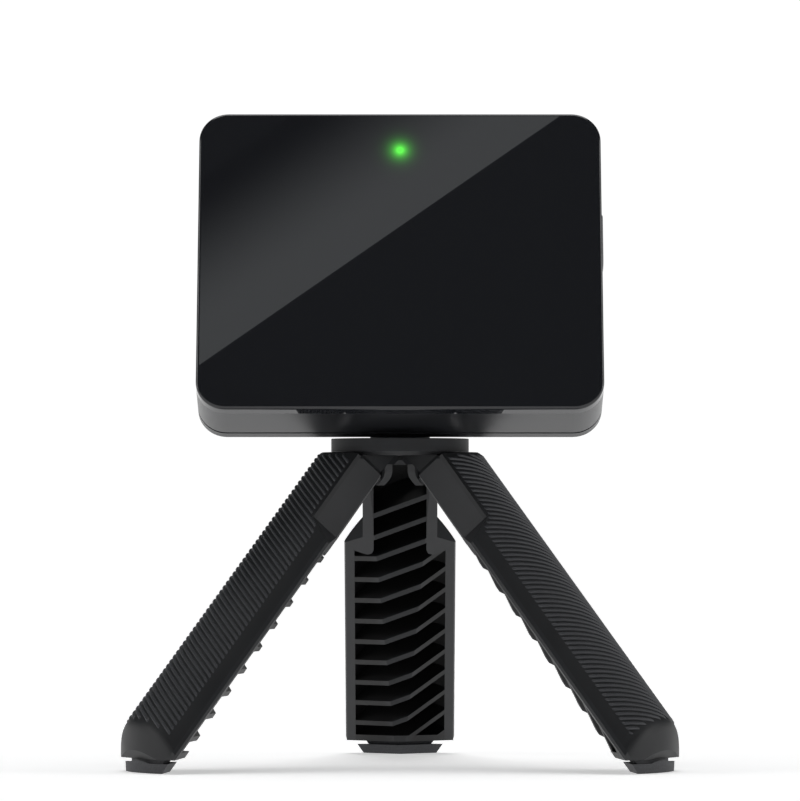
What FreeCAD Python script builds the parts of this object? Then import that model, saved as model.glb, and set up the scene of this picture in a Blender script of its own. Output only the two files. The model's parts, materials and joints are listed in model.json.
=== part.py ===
import FreeCAD, Part
import math
import os
import Sketcher

# Portable radar launch monitor on a small folding tripod.
# Millimetres, +Z up.  The origin is on the floor at the centre of the overall
# footprint; the player's side (the lens) faces -Y.
# Three frames are used:
#   head frame   x across, y up the lens, z out of the lens, origin at the lens centre
#   leg frame    x out from the folded bundle's axis, y round it, z up, origin at pin height
#   stand frame  the tripod's own axis, parallel to the part's Z

V = FreeCAD.Vector
doc = FreeCAD.newDocument("launch_monitor")
sheet = doc.addObject("Spreadsheet::Sheet", "Dims")

DIMENSIONS = {
    # whole stand
    "stand_y": -12.01, "head_lean": 20.4, "leg_lean": 39.25,
    # head outline and the stack of layers behind the lens face
    "head_wide": 89.0, "head_tall": 70.5, "head_corner": 6.5,
    "face_y": -11.37, "face_z": 111.57,
    "lens_deep": 3.0, "lens_skin": 1.6, "lens_wall": 1.5, "lens_edge": 0.7,
    "glue_deep": 0.3, "glue_wide": 3.0,
    "band_front": 3.0, "band_back": 14.3, "wall": 2.0,
    "bezel_front": 1.9, "bezel_back": 3.6, "bezel_wide": 85.6, "bezel_tall": 67.1,
    "cavity_wide": 85.0, "cavity_tall": 66.5, "cavity_corner": 4.5,
    "seal_wide": 87.4, "seal_tall": 68.9, "seal_rim": 1.0,
    "rear_front": 14.9, "rear_flange": 17.4, "flange_skin": 1.7, "rear_back": 25.5,
    "bulge_wide": 76.0, "bulge_tall": 56.0, "bulge_corner": 9.0, "bulge_wall": 1.7,
    "groove_wide": 52.0, "groove_tall": 1.2, "groove_deep": 0.5, "groove_pitch": 4.0,
    "window_wide": 66.0, "window_tall": 44.0, "window_y": -5.0,
    "led_y": 26.3, "led_bore": 1.7, "pipe_radius": 1.4, "pipe_flange": 2.3,
    # housing screws
    "boss_x": 39.0, "boss_y": 30.0, "boss_radius": 2.4, "screw_shank": 0.95,
    "screw_head": 1.8, "screw_head_deep": 1.1, "screw_reach": 8.0,
    # boards
    "post_x": 32.0, "post_low": -25.0, "post_high": 15.0, "post_radius": 1.9,
    "post_step": 2.9, "board_screw": 0.75, "board_screw_head": 1.4,
    "antenna_wide": 72.0, "antenna_tall": 50.0, "antenna_y": -5.0,
    "antenna_front": 4.2, "antenna_thick": 1.0,
    "patch_side": 4.6, "patch_pitch": 7.6, "patch_thick": 0.1,
    "main_wide": 72.0, "main_top": 29.0, "main_foot": -29.0,
    "main_front": 7.0, "main_thick": 1.2,
    "usb_y": -6.0, "usb_wide": 7.6, "usb_tall": 2.8, "usb_deep": 5.6, "usb_skin": 0.3,
    "port_wide": 11.2, "port_tall": 6.0, "cap_wide": 16.0, "cap_tall": 7.6,
    "cap_thick": 1.2, "cap_gap": 0.2, "plug_deep": 0.7,
    "key_y": 8.0, "key_wide": 13.0, "key_tall": 5.0, "key_proud": 0.5, "key_gap": 0.3,
    # battery
    "cell_wide": 56.0, "cell_tall": 34.0, "cell_thick": 7.0, "cell_front": 15.7, "cell_y": 6.0,
    # tripod mount of the head
    "seat_z": 73.3, "heel_radius": 9.0, "heel_tall": 20.0, "insert_boss": 6.2,
    "insert_boss_tall": 10.5, "insert_radius": 4.6, "insert_tall": 8.0, "insert_bore": 3.05,
    # hub
    "hub_top": 72.3, "hub_side_foot": 69.4, "hub_foot": 68.6, "hub_radius": 15.24,
    "hub_foot_radius": 11.0, "recess_radius": 11.3, "plate_radius": 11.2, "plate_thick": 0.6,
    "stud_radius": 3.0, "stud_top": 80.0, "pad_inner": 3.6, "pad_outer": 6.6,
    "lug_thick": 2.7, "lug_foot": 66.6, "pin_radius": 0.8, "pin_reach": 5.0,
    "pin_r": 4.5, "pin_z": 69.70, "slot_half": 3.45, "slot_inner": 2.45,
    "plate_screw_r": 8.7, "plate_screw": 0.9, "plate_screw_head": 1.6,
    # legs, measured down the leg from the hinge pin
    "grip_radius": 14.95, "frame_radius": 14.2, "leg_wall_inner": 12.4, "leg_gap": 0.15,
    "leg_top": 7.6, "leg_end": 90.0, "neck_half": 8.4, "neck_end": 25.3, "rim_half": 12.6,
    "shoulder_end": 29.2, "rail_inner": 10.3, "neck_inner": 5.95,
    "crest_high": 3.3, "crest_high_at": 28.0, "crest_low": 0.7, "crest_low_at": 88.5,
    "rib_first": 15.4, "rib_pitch": 6.18, "rib_thick": 1.25, "rib_skew": 0.457, "rib_count": 13,
    "ear_inner": 1.7, "ear_outer": 3.3, "ear_tip": 1.75, "ear_bore": 0.86,
    "foot_turn_radius": 24.0, "foot_turn_r": 66.3, "shell_foot_z": 3.0,
    "pad_gap": 0.9, "foot_wall": 1.4,
    "grip_half_angle": 54.0, "grip_end": 89.2,
    "neck_cap_z": 67.75, "grip_cap_z": 69.25, "cap_edge": 0.35, "foot_turn_edge": 3.5,
    "pad_inset": 1.0, "pad_half": 10.6, "pad_core_half": 8.6,
}

for row, (alias, value) in enumerate(DIMENSIONS.items(), start=1):
    sheet.set("A%d" % row, alias)
    sheet.set("B%d" % row, str(value))
    sheet.setAlias("B%d" % row, alias)
doc.recompute()


def dim(alias):
    return float(getattr(sheet, alias))


lean = math.radians(dim("leg_lean"))

head_placement = FreeCAD.Placement(
    V(0, dim("stand_y") + dim("face_y"), dim("face_z")),
    FreeCAD.Rotation(V(1, 0, 0), 90 - dim("head_lean")))
stand_placement = FreeCAD.Placement(V(0, dim("stand_y"), 0), FreeCAD.Rotation())
upright_in_head = head_placement.inverse().multiply(stand_placement)

nodes = []


def finish(feature, label, placement):
    """Name a finished sub-part and set it in place."""
    feature.Label = label
    feature.Placement = placement
    nodes.append(feature)
    return feature


def new_body(label, placement=head_placement):
    body = doc.addObject("PartDesign::Body", label)
    return finish(body, label, placement)


def new_sketch(body, name, plane="XY_Plane", at=(0, 0), level="0"):
    """Sketch on one of the body's own planes; level is an expression along the plane's normal."""
    sketch = body.newObject("Sketcher::SketchObject", name)
    support = [f for f in body.Origin.OriginFeatures if f.Role == plane][0]
    sketch.AttachmentSupport = [(support, "")]
    sketch.MapMode = "FlatFace"
    sketch.AttachmentOffset = FreeCAD.Placement(V(at[0], at[1], 0), FreeCAD.Rotation())
    sketch.setExpression(".AttachmentOffset.Base.z", level)
    return sketch


def rounded_rectangle(sketch, wide, tall, corner):
    """Rectangle centred on the sketch's origin; the three sizes are expressions."""
    half_w, half_h, r = 10.0, 8.0, 1.0
    corners = [(half_w - r, half_h - r, 0), (-half_w + r, half_h - r, 90),
               (-half_w + r, -half_h + r, 180), (half_w - r, -half_h + r, 270)]
    arcs = []
    for cx, cy, start in corners:
        circle = Part.Circle(V(cx, cy, 0), V(0, 0, 1), r)
        arc = Part.ArcOfCircle(circle, math.radians(start), math.radians(start + 90))
        arcs.append(sketch.addGeometry(arc, False))
    lines = []
    for k in range(4):
        a = sketch.getPoint(arcs[k], 2)
        b = sketch.getPoint(arcs[(k + 1) % 4], 1)
        lines.append(sketch.addGeometry(Part.LineSegment(a, b), False))
    for k in range(4):
        sketch.addConstraint(Sketcher.Constraint("Tangent", arcs[k], 2, lines[k], 1))
        sketch.addConstraint(Sketcher.Constraint("Tangent", lines[k], 2, arcs[(k + 1) % 4], 1))
    for k in (0, 2):
        sketch.addConstraint(Sketcher.Constraint("Horizontal", lines[k]))
    for k in (1, 3):
        sketch.addConstraint(Sketcher.Constraint("Vertical", lines[k]))
    for k in (1, 2, 3):
        sketch.addConstraint(Sketcher.Constraint("Equal", arcs[0], arcs[k]))
    radius = sketch.addConstraint(Sketcher.Constraint("Radius", arcs[0], r))
    left = sketch.addConstraint(Sketcher.Constraint("DistanceX", lines[1], 1, -1, 1, half_w))
    right = sketch.addConstraint(Sketcher.Constraint("DistanceX", -1, 1, lines[3], 1, half_w))
    low = sketch.addConstraint(Sketcher.Constraint("DistanceY", lines[2], 1, -1, 1, half_h))
    high = sketch.addConstraint(Sketcher.Constraint("DistanceY", -1, 1, lines[0], 1, half_h))
    sketch.setExpression("Constraints[%d]" % radius, corner)
    for index in (left, right):
        sketch.setExpression("Constraints[%d]" % index, "(%s) / 2" % wide)
    for index in (low, high):
        sketch.setExpression("Constraints[%d]" % index, "(%s) / 2" % tall)


def circle(sketch, radius, at=(0, 0)):
    index = sketch.addGeometry(Part.Circle(V(at[0], at[1], 0), V(0, 0, 1), 1.0), False)
    size = sketch.addConstraint(Sketcher.Constraint("Radius", index, 1.0))
    sketch.setExpression("Constraints[%d]" % size, radius)


def polygon(sketch, points):
    """Closed outline through the points, in order."""
    first = None
    last = None
    count = len(points)
    for k in range(count):
        a = V(points[k][0], points[k][1], 0)
        b = V(points[(k + 1) % count][0], points[(k + 1) % count][1], 0)
        line = sketch.addGeometry(Part.LineSegment(a, b), False)
        if last is not None:
            sketch.addConstraint(Sketcher.Constraint("Coincident", last, 2, line, 1))
        else:
            first = line
        last = line
    sketch.addConstraint(Sketcher.Constraint("Coincident", last, 2, first, 1))


def pad(body, sketch, length, backwards=True, both=False, taper=0):
    """Grow the sketch by an expression; backwards means against the sketch's normal."""
    feature = body.newObject("PartDesign::Pad", sketch.Name + "_pad")
    feature.Profile = sketch
    feature.setExpression("Length", length)
    feature.Reversed = backwards
    feature.Midplane = both
    if taper:
        feature.TaperAngle = taper
    sketch.Visibility = False
    return feature


def pocket(body, sketch, length=None, backwards=False, both=False):
    """Cut the sketch to a depth given by an expression, or right through when there is none."""
    feature = body.newObject("PartDesign::Pocket", sketch.Name + "_pocket")
    feature.Profile = sketch
    if length is None:
        feature.Type = "ThroughAll"
    else:
        feature.setExpression("Length", length)
    feature.Reversed = backwards
    feature.Midplane = both
    return feature


def round_edges(body, base, radius, chosen):
    """Fillet the edges of base that the chosen(edge) test picks."""
    doc.recompute()
    names = ["Edge%d" % (k + 1) for k, e in enumerate(base.Shape.Edges) if chosen(e)]
    feature = body.newObject("PartDesign::Fillet", base.Name + "_round")
    feature.Base = (base, names)
    feature.setExpression("Radius", radius)
    return feature


def at_level(level):
    """Test for edges that lie in the plane z = level of their own body."""
    def test(edge):
        box = edge.BoundBox
        return abs(box.ZMin - level) < 1e-4 and abs(box.ZMax - level) < 1e-4
    return test


def slab(label, wide, tall, corner, front, thick, at=(0, 0)):
    """Flat rounded piece parallel to the lens: front and thick are depths behind the lens face."""
    body = new_body(label)
    sketch = new_sketch(body, label + "_outline", at=at, level="-(%s)" % front)
    rounded_rectangle(sketch, wide, tall, corner)
    pad(body, sketch, thick)
    return body


def ring(label, wide, tall, corner, rim, front, thick):
    """Slab with a middle cut out that leaves a rim of even width."""
    body = slab(label, wide, tall, corner, front, thick)
    hole = new_sketch(body, label + "_hole", level="-(%s)" % front)
    rounded_rectangle(hole, "%s - 2 * %s" % (wide, rim), "%s - 2 * %s" % (tall, rim),
                      "max(%s - %s; 0.4)" % (corner, rim))
    pocket(body, hole)
    return body


# ---------------------------------------------------------------- head: covers
lens = slab("front_lens", "Dims.head_wide", "Dims.head_tall", "Dims.head_corner",
            "0", "Dims.lens_deep")
hollow = new_sketch(lens, "lens_hollow", level="-Dims.lens_deep")
rounded_rectangle(hollow, "Dims.head_wide - 2 * Dims.lens_wall",
                  "Dims.head_tall - 2 * Dims.lens_wall", "Dims.head_corner - Dims.lens_wall")
hollowed = pocket(lens, hollow, "Dims.lens_deep - Dims.lens_skin", backwards=True)
round_edges(lens, hollowed, "Dims.lens_edge", at_level(0.0))

ring("lens_adhesive", "Dims.bezel_wide", "Dims.bezel_tall", "Dims.head_corner - 1.7",
     "Dims.glue_wide", "Dims.lens_skin", "Dims.glue_deep")

front = slab("front_housing", "Dims.head_wide", "Dims.head_tall", "Dims.head_corner",
             "Dims.band_front", "Dims.band_back - Dims.band_front")
lip = new_sketch(front, "bezel_outline", level="-Dims.bezel_front")
rounded_rectangle(lip, "Dims.bezel_wide", "Dims.bezel_tall", "Dims.head_corner - 1.7")
pad(front, lip, "Dims.bezel_back - Dims.bezel_front")
cavity = new_sketch(front, "front_cavity", level="-Dims.band_back")
rounded_rectangle(cavity, "Dims.cavity_wide", "Dims.cavity_tall", "Dims.cavity_corner")
pocket(front, cavity, "Dims.band_back - Dims.bezel_back", backwards=True)
window = new_sketch(front, "radar_window", at=(0, dim("window_y")), level="-Dims.bezel_front")
rounded_rectangle(window, "Dims.window_wide", "Dims.window_tall", "2.0")
pocket(front, window, "Dims.bezel_back - Dims.bezel_front")
led_hole = new_sketch(front, "led_hole", level="-Dims.bezel_front")
circle(led_hole, "Dims.led_bore", at=(0, dim("led_y")))
pocket(front, led_hole, "Dims.bezel_back - Dims.bezel_front")

corners = [(sx * dim("boss_x"), sy * dim("boss_y")) for sx in (-1, 1) for sy in (-1, 1)]
posts = [(sx * dim("post_x"), y) for sx in (-1, 1) for y in (dim("post_low"), dim("post_high"))]
bosses = new_sketch(front, "screw_bosses", level="-Dims.bezel_back + 0.4")
for spot in corners:
    circle(bosses, "Dims.boss_radius", at=spot)
pad(front, bosses, "Dims.band_back - Dims.bezel_back + 0.2")
steps = new_sketch(front, "post_steps", level="-Dims.bezel_back + 0.4")
for spot in posts:
    circle(steps, "Dims.post_step", at=spot)
pad(front, steps, "Dims.antenna_front - Dims.bezel_back + 0.4")
tall_posts = new_sketch(front, "board_posts", level="-Dims.bezel_back + 0.4")
for spot in posts:
    circle(tall_posts, "Dims.post_radius", at=spot)
pad(front, tall_posts, "Dims.main_front - Dims.bezel_back + 0.4")
pilots = new_sketch(front, "boss_pilots", level="-Dims.band_back")
for spot in corners:
    circle(pilots, "Dims.screw_shank", at=spot)
pocket(front, pilots, "Dims.screw_reach", backwards=True)
small_pilots = new_sketch(front, "post_pilots", level="-Dims.main_front")
for spot in posts:
    circle(small_pilots, "Dims.board_screw", at=spot)
pocket(front, small_pilots, "2.6", backwards=True)

# Side openings are drawn on the body's YZ plane: sketch x is head y, sketch y is head z.
usb_z = -(dim("main_front") + dim("main_thick") + dim("usb_tall") / 2)
key_z = -(dim("main_front") + dim("main_thick") + 1.6)
port = new_sketch(front, "usb_opening", "YZ_Plane", (dim("usb_y"), usb_z), "-Dims.head_wide / 2")
rounded_rectangle(port, "Dims.port_wide", "Dims.port_tall", "1.2")
pocket(front, port, "Dims.wall + 1", backwards=True)
rebate = new_sketch(front, "cap_rebate", "YZ_Plane", (dim("usb_y"), usb_z), "-Dims.head_wide / 2")
rounded_rectangle(rebate, "Dims.cap_wide + 2 * Dims.cap_gap",
                  "Dims.cap_tall + 2 * Dims.cap_gap", "0.9")
pocket(front, rebate, "Dims.cap_thick + 0.05", backwards=True)
key_hole = new_sketch(front, "key_opening", "YZ_Plane", (dim("key_y"), key_z), "Dims.head_wide / 2")
rounded_rectangle(key_hole, "Dims.key_wide + 2 * Dims.key_gap",
                  "Dims.key_tall + 2 * Dims.key_gap", "1.9 + Dims.key_gap")
pocket(front, key_hole, "Dims.wall + 1")

ring("housing_seal", "Dims.seal_wide", "Dims.seal_tall", "Dims.head_corner - 0.8",
     "Dims.seal_rim", "Dims.band_back", "Dims.rear_front - Dims.band_back")

# ---------------------------------------------------------------- head: rear cover
rear = slab("rear_housing", "Dims.head_wide", "Dims.head_tall", "Dims.head_corner",
            "Dims.rear_front", "Dims.rear_flange - Dims.rear_front")
doc.recompute()
round_edges(rear, rear.Tip, "0.35", at_level(-dim("rear_flange")))
bulge = new_sketch(rear, "bulge_outline", level="-Dims.rear_flange + 0.5")
rounded_rectangle(bulge, "Dims.bulge_wide", "Dims.bulge_tall", "Dims.bulge_corner")
bulged = pad(rear, bulge, "Dims.rear_back - Dims.rear_flange + 0.5", taper=-6)
round_edges(rear, bulged, "1.8", at_level(-dim("rear_back")))


def upright_cylinder(body, name, kind, radius, height, foot_z):
    """Cylinder on the tripod's axis, added to or taken from a body of the head."""
    feature = body.newObject("PartDesign::%sCylinder" % kind, name)
    feature.setExpression("Radius", radius)
    feature.setExpression("Height", height)
    foot = FreeCAD.Placement(V(0, 0, foot_z), FreeCAD.Rotation())
    feature.Placement = upright_in_head.multiply(foot)
    return feature


upright_cylinder(rear, "heel", "Additive", "Dims.heel_radius", "Dims.heel_tall", dim("seat_z"))
shallow = new_sketch(rear, "flange_cavity", level="-Dims.rear_front")
rounded_rectangle(shallow, "Dims.cavity_wide", "Dims.cavity_tall", "Dims.cavity_corner")
pocket(rear, shallow, "Dims.rear_flange - Dims.flange_skin - Dims.rear_front")
deep = new_sketch(rear, "bulge_cavity", level="-Dims.rear_front")
rounded_rectangle(deep, "Dims.bulge_wide - 2 * Dims.bulge_wall - 1.6",
                  "Dims.bulge_tall - 2 * Dims.bulge_wall - 1.6", "Dims.bulge_corner - 2.5")
pocket(rear, deep, "Dims.rear_back - Dims.bulge_wall - Dims.rear_front")
upright_cylinder(rear, "insert_boss", "Additive", "Dims.insert_boss", "Dims.insert_boss_tall",
                 dim("seat_z"))
upright_cylinder(rear, "insert_bore", "Subtractive", "Dims.insert_radius",
                 "Dims.insert_tall + 0.4", dim("seat_z"))
for k in range(-2, 4):
    groove = new_sketch(rear, "groove_%d" % (k + 3), at=(0, 6 + k * dim("groove_pitch")),
                        level="-Dims.rear_back")
    rounded_rectangle(groove, "Dims.groove_wide", "Dims.groove_tall", "0.55")
    pocket(rear, groove, "Dims.groove_deep", backwards=True)
holes = new_sketch(rear, "screw_holes", level="-Dims.rear_flange")
for spot in corners:
    circle(holes, "Dims.screw_shank + 0.1", at=spot)
pocket(rear, holes, "Dims.rear_flange - Dims.rear_front", backwards=True)
sinks = new_sketch(rear, "screw_sinks", level="-Dims.rear_flange")
for spot in corners:
    circle(sinks, "Dims.screw_head + 0.15", at=spot)
pocket(rear, sinks, "Dims.screw_head_deep + 0.1", backwards=True)

insert_body = new_body("thread_insert")
upright_cylinder(insert_body, "insert_outside", "Additive", "Dims.insert_radius",
                 "Dims.insert_tall", dim("seat_z"))
upright_cylinder(insert_body, "insert_inside", "Subtractive", "Dims.insert_bore",
                 "Dims.insert_tall", dim("seat_z"))


def screws(label, spots, head_back, head_deep, head_radius, shank_radius, reach, drive):
    """Round-headed screws driven from behind; one node, a separate solid for each."""
    shapes = []
    for x, y in spots:
        head = Part.makeCylinder(head_radius, head_deep, V(x, y, -head_back))
        shank = Part.makeCylinder(shank_radius, reach, V(x, y, -head_back + head_deep * 0.5))
        socket = Part.makeCylinder(drive, head_deep * 0.55, V(x, y, -head_back))
        shapes.append(head.fuse(shank).removeSplitter().cut(socket))
    feature = doc.addObject("Part::Feature", label)
    feature.Shape = Part.makeCompound(shapes)
    return finish(feature, label, head_placement)


screws("housing_screws", corners, dim("rear_flange") - 0.1, dim("screw_head_deep"),
       dim("screw_head"), dim("screw_shank"), dim("screw_reach"), 0.8)

# ---------------------------------------------------------------- head: boards
antenna = slab("antenna_board", "Dims.antenna_wide", "Dims.antenna_tall", "1.5",
               "Dims.antenna_front", "Dims.antenna_thick", at=(0, dim("antenna_y")))
antenna_holes = new_sketch(antenna, "antenna_holes", level="-Dims.antenna_front")
for spot in posts:
    circle(antenna_holes, "Dims.post_radius + 0.15", at=spot)
pocket(antenna, antenna_holes)

patches = []
for column in range(-3, 4):
    for row in range(-2, 3):
        side = dim("patch_side")
        x = column * dim("patch_pitch") - side / 2
        y = dim("antenna_y") + row * dim("patch_pitch") - side / 2
        foot = V(x, y, -dim("antenna_front"))
        patches.append(Part.makeBox(side, side, dim("patch_thick"), foot))
patch_node = doc.addObject("Part::Feature", "antenna_patches")
patch_node.Shape = Part.makeCompound(patches)
finish(patch_node, "antenna_patches", head_placement)

antenna_back = "Dims.antenna_front + Dims.antenna_thick"
slab("radar_chip", "9", "9", "0.3", antenna_back, "0.8", at=(0, dim("antenna_y")))


def can(label, wide, tall, front, deep, at, opens_back):
    """Drawn metal can with an open side; opens_back tells which way the opening faces."""
    body = slab(label, wide, tall, "1.0", front, deep, at=at)
    inside_level = "-(%s) - (%s)" % (front, deep) if opens_back else "-(%s)" % front
    inside = new_sketch(body, label + "_inside", at=at, level=inside_level)
    rounded_rectangle(inside, "%s - 0.5" % wide, "%s - 0.5" % tall, "0.8")
    pocket(body, inside, "%s - 0.25" % deep, backwards=opens_back)
    return body


can("radar_shield", "24", "24", antenna_back, "1.4", (0, dim("antenna_y")), False)

main_back = "Dims.main_front + Dims.main_thick"
board = new_body("main_board")
outline = new_sketch(board, "main_outline", level="-Dims.main_front")
half = dim("main_wide") / 2
tab = 42.2
usb_half = 6.0
polygon(outline, [(-half, dim("main_foot")), (half, dim("main_foot")), (half, dim("main_top")),
                  (-half, dim("main_top")), (-half, dim("usb_y") + usb_half),
                  (-tab, dim("usb_y") + usb_half), (-tab, dim("usb_y") - usb_half),
                  (-half, dim("usb_y") - usb_half)])
pad(board, outline, "Dims.main_thick")
board_holes = new_sketch(board, "board_holes", level="-Dims.main_front")
for spot in posts:
    circle(board_holes, "Dims.board_screw + 0.15", at=spot)
pocket(board, board_holes)

screws("board_screws", posts, dim("main_front") + dim("main_thick") + 0.7, 0.7,
       dim("board_screw_head"), dim("board_screw"), 3.6, 0.45)


def chips(label, rows):
    """Small packages on the back of the main board: x, y, width, height, thickness of each."""
    level = -(dim("main_front") + dim("main_thick"))
    shapes = []
    for x, y, wide, tall, thick in rows:
        shapes.append(Part.makeBox(wide, tall, thick, V(x - wide / 2, y - tall / 2, level - thick)))
    feature = doc.addObject("Part::Feature", label)
    feature.Shape = Part.makeCompound(shapes)
    return finish(feature, label, head_placement)


chips("main_chips", [(-6, 7, 8, 8, 0.9), (5, 9, 6, 6, 0.8), (4, 1, 4, 5, 0.8), (-7, -2, 5, 4, 0.9),
                     (-22, 12, 3, 3, 1.2), (-22, 5, 3, 3, 1.2), (20, -6, 5, 6, 0.9)])
can("main_shield", "30", "24", main_back, "1.8", (-1, 4), False)
slab("board_connector", "14", "3.2", "0.3", antenna_back, "Dims.main_front - 5.2",
     at=(22, dim("antenna_y")))

usb = new_body("usb_receptacle")
mouth = dim("head_wide") / 2 - dim("cap_thick") - dim("plug_deep") - 0.25
shell = new_sketch(usb, "usb_shell", "YZ_Plane", (dim("usb_y"), usb_z), str(-mouth))
rounded_rectangle(shell, "Dims.usb_wide", "Dims.usb_tall", "0.8")
pad(usb, shell, "Dims.usb_deep", backwards=False)
slot = new_sketch(usb, "usb_slot", "YZ_Plane", (dim("usb_y"), usb_z), str(-mouth))
rounded_rectangle(slot, "Dims.usb_wide - 2 * Dims.usb_skin", "Dims.usb_tall - 2 * Dims.usb_skin",
                  "0.5")
pocket(usb, slot, "Dims.usb_deep - 1.2", backwards=True)
tongue = new_sketch(usb, "usb_tongue", "YZ_Plane", (dim("usb_y"), usb_z + 0.35), str(-mouth + 0.9))
rounded_rectangle(tongue, "4.6", "0.7", "0.1")
pad(usb, tongue, "Dims.usb_deep - 1.5", backwards=False)

cap = new_body("usb_cap")
lid = new_sketch(cap, "cap_lid", "YZ_Plane", (dim("usb_y"), usb_z), "-Dims.head_wide / 2")
rounded_rectangle(lid, "Dims.cap_wide", "Dims.cap_tall", "0.7")
pad(cap, lid, "Dims.cap_thick", backwards=False)
plug = new_sketch(cap, "cap_plug", "YZ_Plane", (dim("usb_y"), usb_z),
                  "-Dims.head_wide / 2 + Dims.cap_thick - 0.3")
rounded_rectangle(plug, "Dims.port_wide - 1.6", "Dims.port_tall - 0.8", "0.9")
pad(cap, plug, "Dims.plug_deep + 0.3", backwards=False)
nail = new_sketch(cap, "cap_nail_notch", "YZ_Plane",
                  (dim("usb_y") + dim("cap_wide") / 2 - 1.2, usb_z), "-Dims.head_wide / 2")
rounded_rectangle(nail, "0.9", "4.0", "0.3")
pocket(cap, nail, "0.45", backwards=True)

key = new_body("power_key")
button = new_sketch(key, "key_cap", "YZ_Plane", (dim("key_y"), key_z),
                    "Dims.head_wide / 2 + Dims.key_proud")
rounded_rectangle(button, "Dims.key_wide", "Dims.key_tall", "1.9")
capped = pad(key, button, "Dims.wall + Dims.key_proud + 0.9")
round_edges(key, capped, "0.35",
            lambda e: e.BoundBox.XMin > dim("head_wide") / 2 + dim("key_proud") - 1e-4)
skirt = new_sketch(key, "key_flange", "YZ_Plane", (dim("key_y"), key_z),
                   "Dims.head_wide / 2 - Dims.wall - Dims.key_gap")
rounded_rectangle(skirt, "Dims.key_wide + 2.2", "Dims.key_tall + 1.6", "2.4")
pad(key, skirt, "0.8")
stem = new_sketch(key, "key_stem", "YZ_Plane", (dim("key_y"), key_z),
                  "Dims.head_wide / 2 - Dims.wall - 0.8")
circle(stem, "1.1")
pad(key, stem, "3.0")

switch = new_body("power_switch")
switch_face = 37.6
base = new_sketch(switch, "switch_base", "YZ_Plane", (dim("key_y"), key_z), str(switch_face))
rounded_rectangle(base, "6.0", "3.2", "0.2")
pad(switch, base, "3.6")
plunger = new_sketch(switch, "switch_plunger", "YZ_Plane", (dim("key_y"), key_z),
                     str(switch_face + 0.5))
circle(plunger, "0.8")
pad(switch, plunger, "0.8")

slab("status_led", "2.8", "2.4", "0.2", "Dims.main_front - 0.8", "0.8", at=(0, dim("led_y")))
pipe = new_body("light_pipe")
rod = new_sketch(pipe, "pipe_rod", level="-Dims.lens_skin - 0.1")
circle(rod, "Dims.pipe_radius", at=(0, dim("led_y")))
pad(pipe, rod, "Dims.main_front - 1 - Dims.lens_skin - 0.1")
collar = new_sketch(pipe, "pipe_collar", level="-Dims.bezel_back")
circle(collar, "Dims.pipe_flange", at=(0, dim("led_y")))
pad(pipe, collar, "0.7")

# ---------------------------------------------------------------- head: battery
battery = slab("battery_pack", "Dims.cell_wide", "Dims.cell_tall", "2.5", "Dims.cell_front",
               "Dims.cell_thick", at=(0, dim("cell_y")))
doc.recompute()
round_edges(battery, battery.Tip, "1.2", at_level(-dim("cell_front")))
slab("battery_foam", "Dims.cell_wide - 8", "Dims.cell_tall - 8", "1",
     "Dims.cell_front + Dims.cell_thick",
     "Dims.rear_back - Dims.bulge_wall - Dims.cell_front - Dims.cell_thick", at=(0, dim("cell_y")))


def lead(label, paths, radius, plug_size, plug_foot):
    """Two insulated wires from the cell's edge to a plug on the main board."""
    shapes = []
    for path in paths:
        spline = Part.BSplineCurve()
        spline.interpolate([V(*p) for p in path])
        wire = Part.Wire([spline.toShape()])
        start = Part.Wire([Part.Circle(V(*path[0]), spline.tangent(0)[0], radius).toShape()])
        shapes.append(wire.makePipeShell([start], True, False))
    shapes.append(Part.makeBox(plug_size[0], plug_size[1], plug_size[2], plug_foot))
    feature = doc.addObject("Part::Feature", label)
    feature.Shape = Part.makeCompound(shapes)
    return finish(feature, label, head_placement)


cell_foot = dim("cell_y") - dim("cell_tall") / 2
plug_back = -(dim("main_front") + dim("main_thick") + 3.0)
paths = []
for offset in (-0.9, 0.9):
    x = 24 + offset
    paths.append([(x, cell_foot - 0.1, -18.0), (x, cell_foot - 2.6, -16.4),
                  (x, cell_foot - 3.4, -13.6), (x, cell_foot - 3.6, plug_back - 0.1)])
lead("battery_lead", paths, 0.55, (5.0, 4.0, 3.0), V(21.5, cell_foot - 5.6, plug_back))

# ---------------------------------------------------------------- hub
hub = new_body("hub_blank", stand_placement)


def turned(body, name, outline):
    """Solid of revolution about the body's Z from an outline in its XZ plane."""
    sketch = new_sketch(body, name, "XZ_Plane")
    polygon(sketch, outline)
    feature = body.newObject("PartDesign::Revolution", name + "_turned")
    feature.Profile = sketch
    feature.ReferenceAxis = (sketch, ["V_Axis"])
    feature.Angle = 360
    return feature


top = dim("hub_top")
turned(hub, "hub_disc", [(0, dim("hub_foot")), (dim("hub_foot_radius"), dim("hub_foot")),
                         (dim("hub_radius"), dim("hub_side_foot")), (dim("hub_radius"), top),
                         (dim("recess_radius"), top),
                         (dim("recess_radius"), top - dim("plate_thick")),
                         (0, top - dim("plate_thick"))])
doc.recompute()
round_edges(hub, hub.Tip, "0.12",
            lambda e: e.BoundBox.ZMin > dim("hub_top") - 1e-4 and e.BoundBox.XLength > 29)

leg_azimuths = {"front_left": 210.0, "front_right": 330.0, "rear": 90.0}
slot_outline = [(dim("slot_inner"), dim("lug_foot") - 1), (dim("slot_inner"), 71.0),
                (3.0, top - dim("plate_thick")), (6.6, top - dim("plate_thick")),
                (9.6, 70.9), (13.4, 69.6), (13.4, dim("lug_foot") - 1)]
lug_outline = [(1.3, 69.5), (1.3, 67.6), (2.3, dim("lug_foot")), (6.2, dim("lug_foot")),
               (8.6, 69.5), (8.6, 71.0), (1.3, 71.0)]
trough_outline = [(dim("pin_r") - dim("pin_radius"), dim("pin_z")),
                  (dim("pin_r") + dim("pin_radius"), dim("pin_z")),
                  (dim("pin_r") + dim("pin_radius"), top), (dim("pin_r") - dim("pin_radius"), top)]


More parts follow.
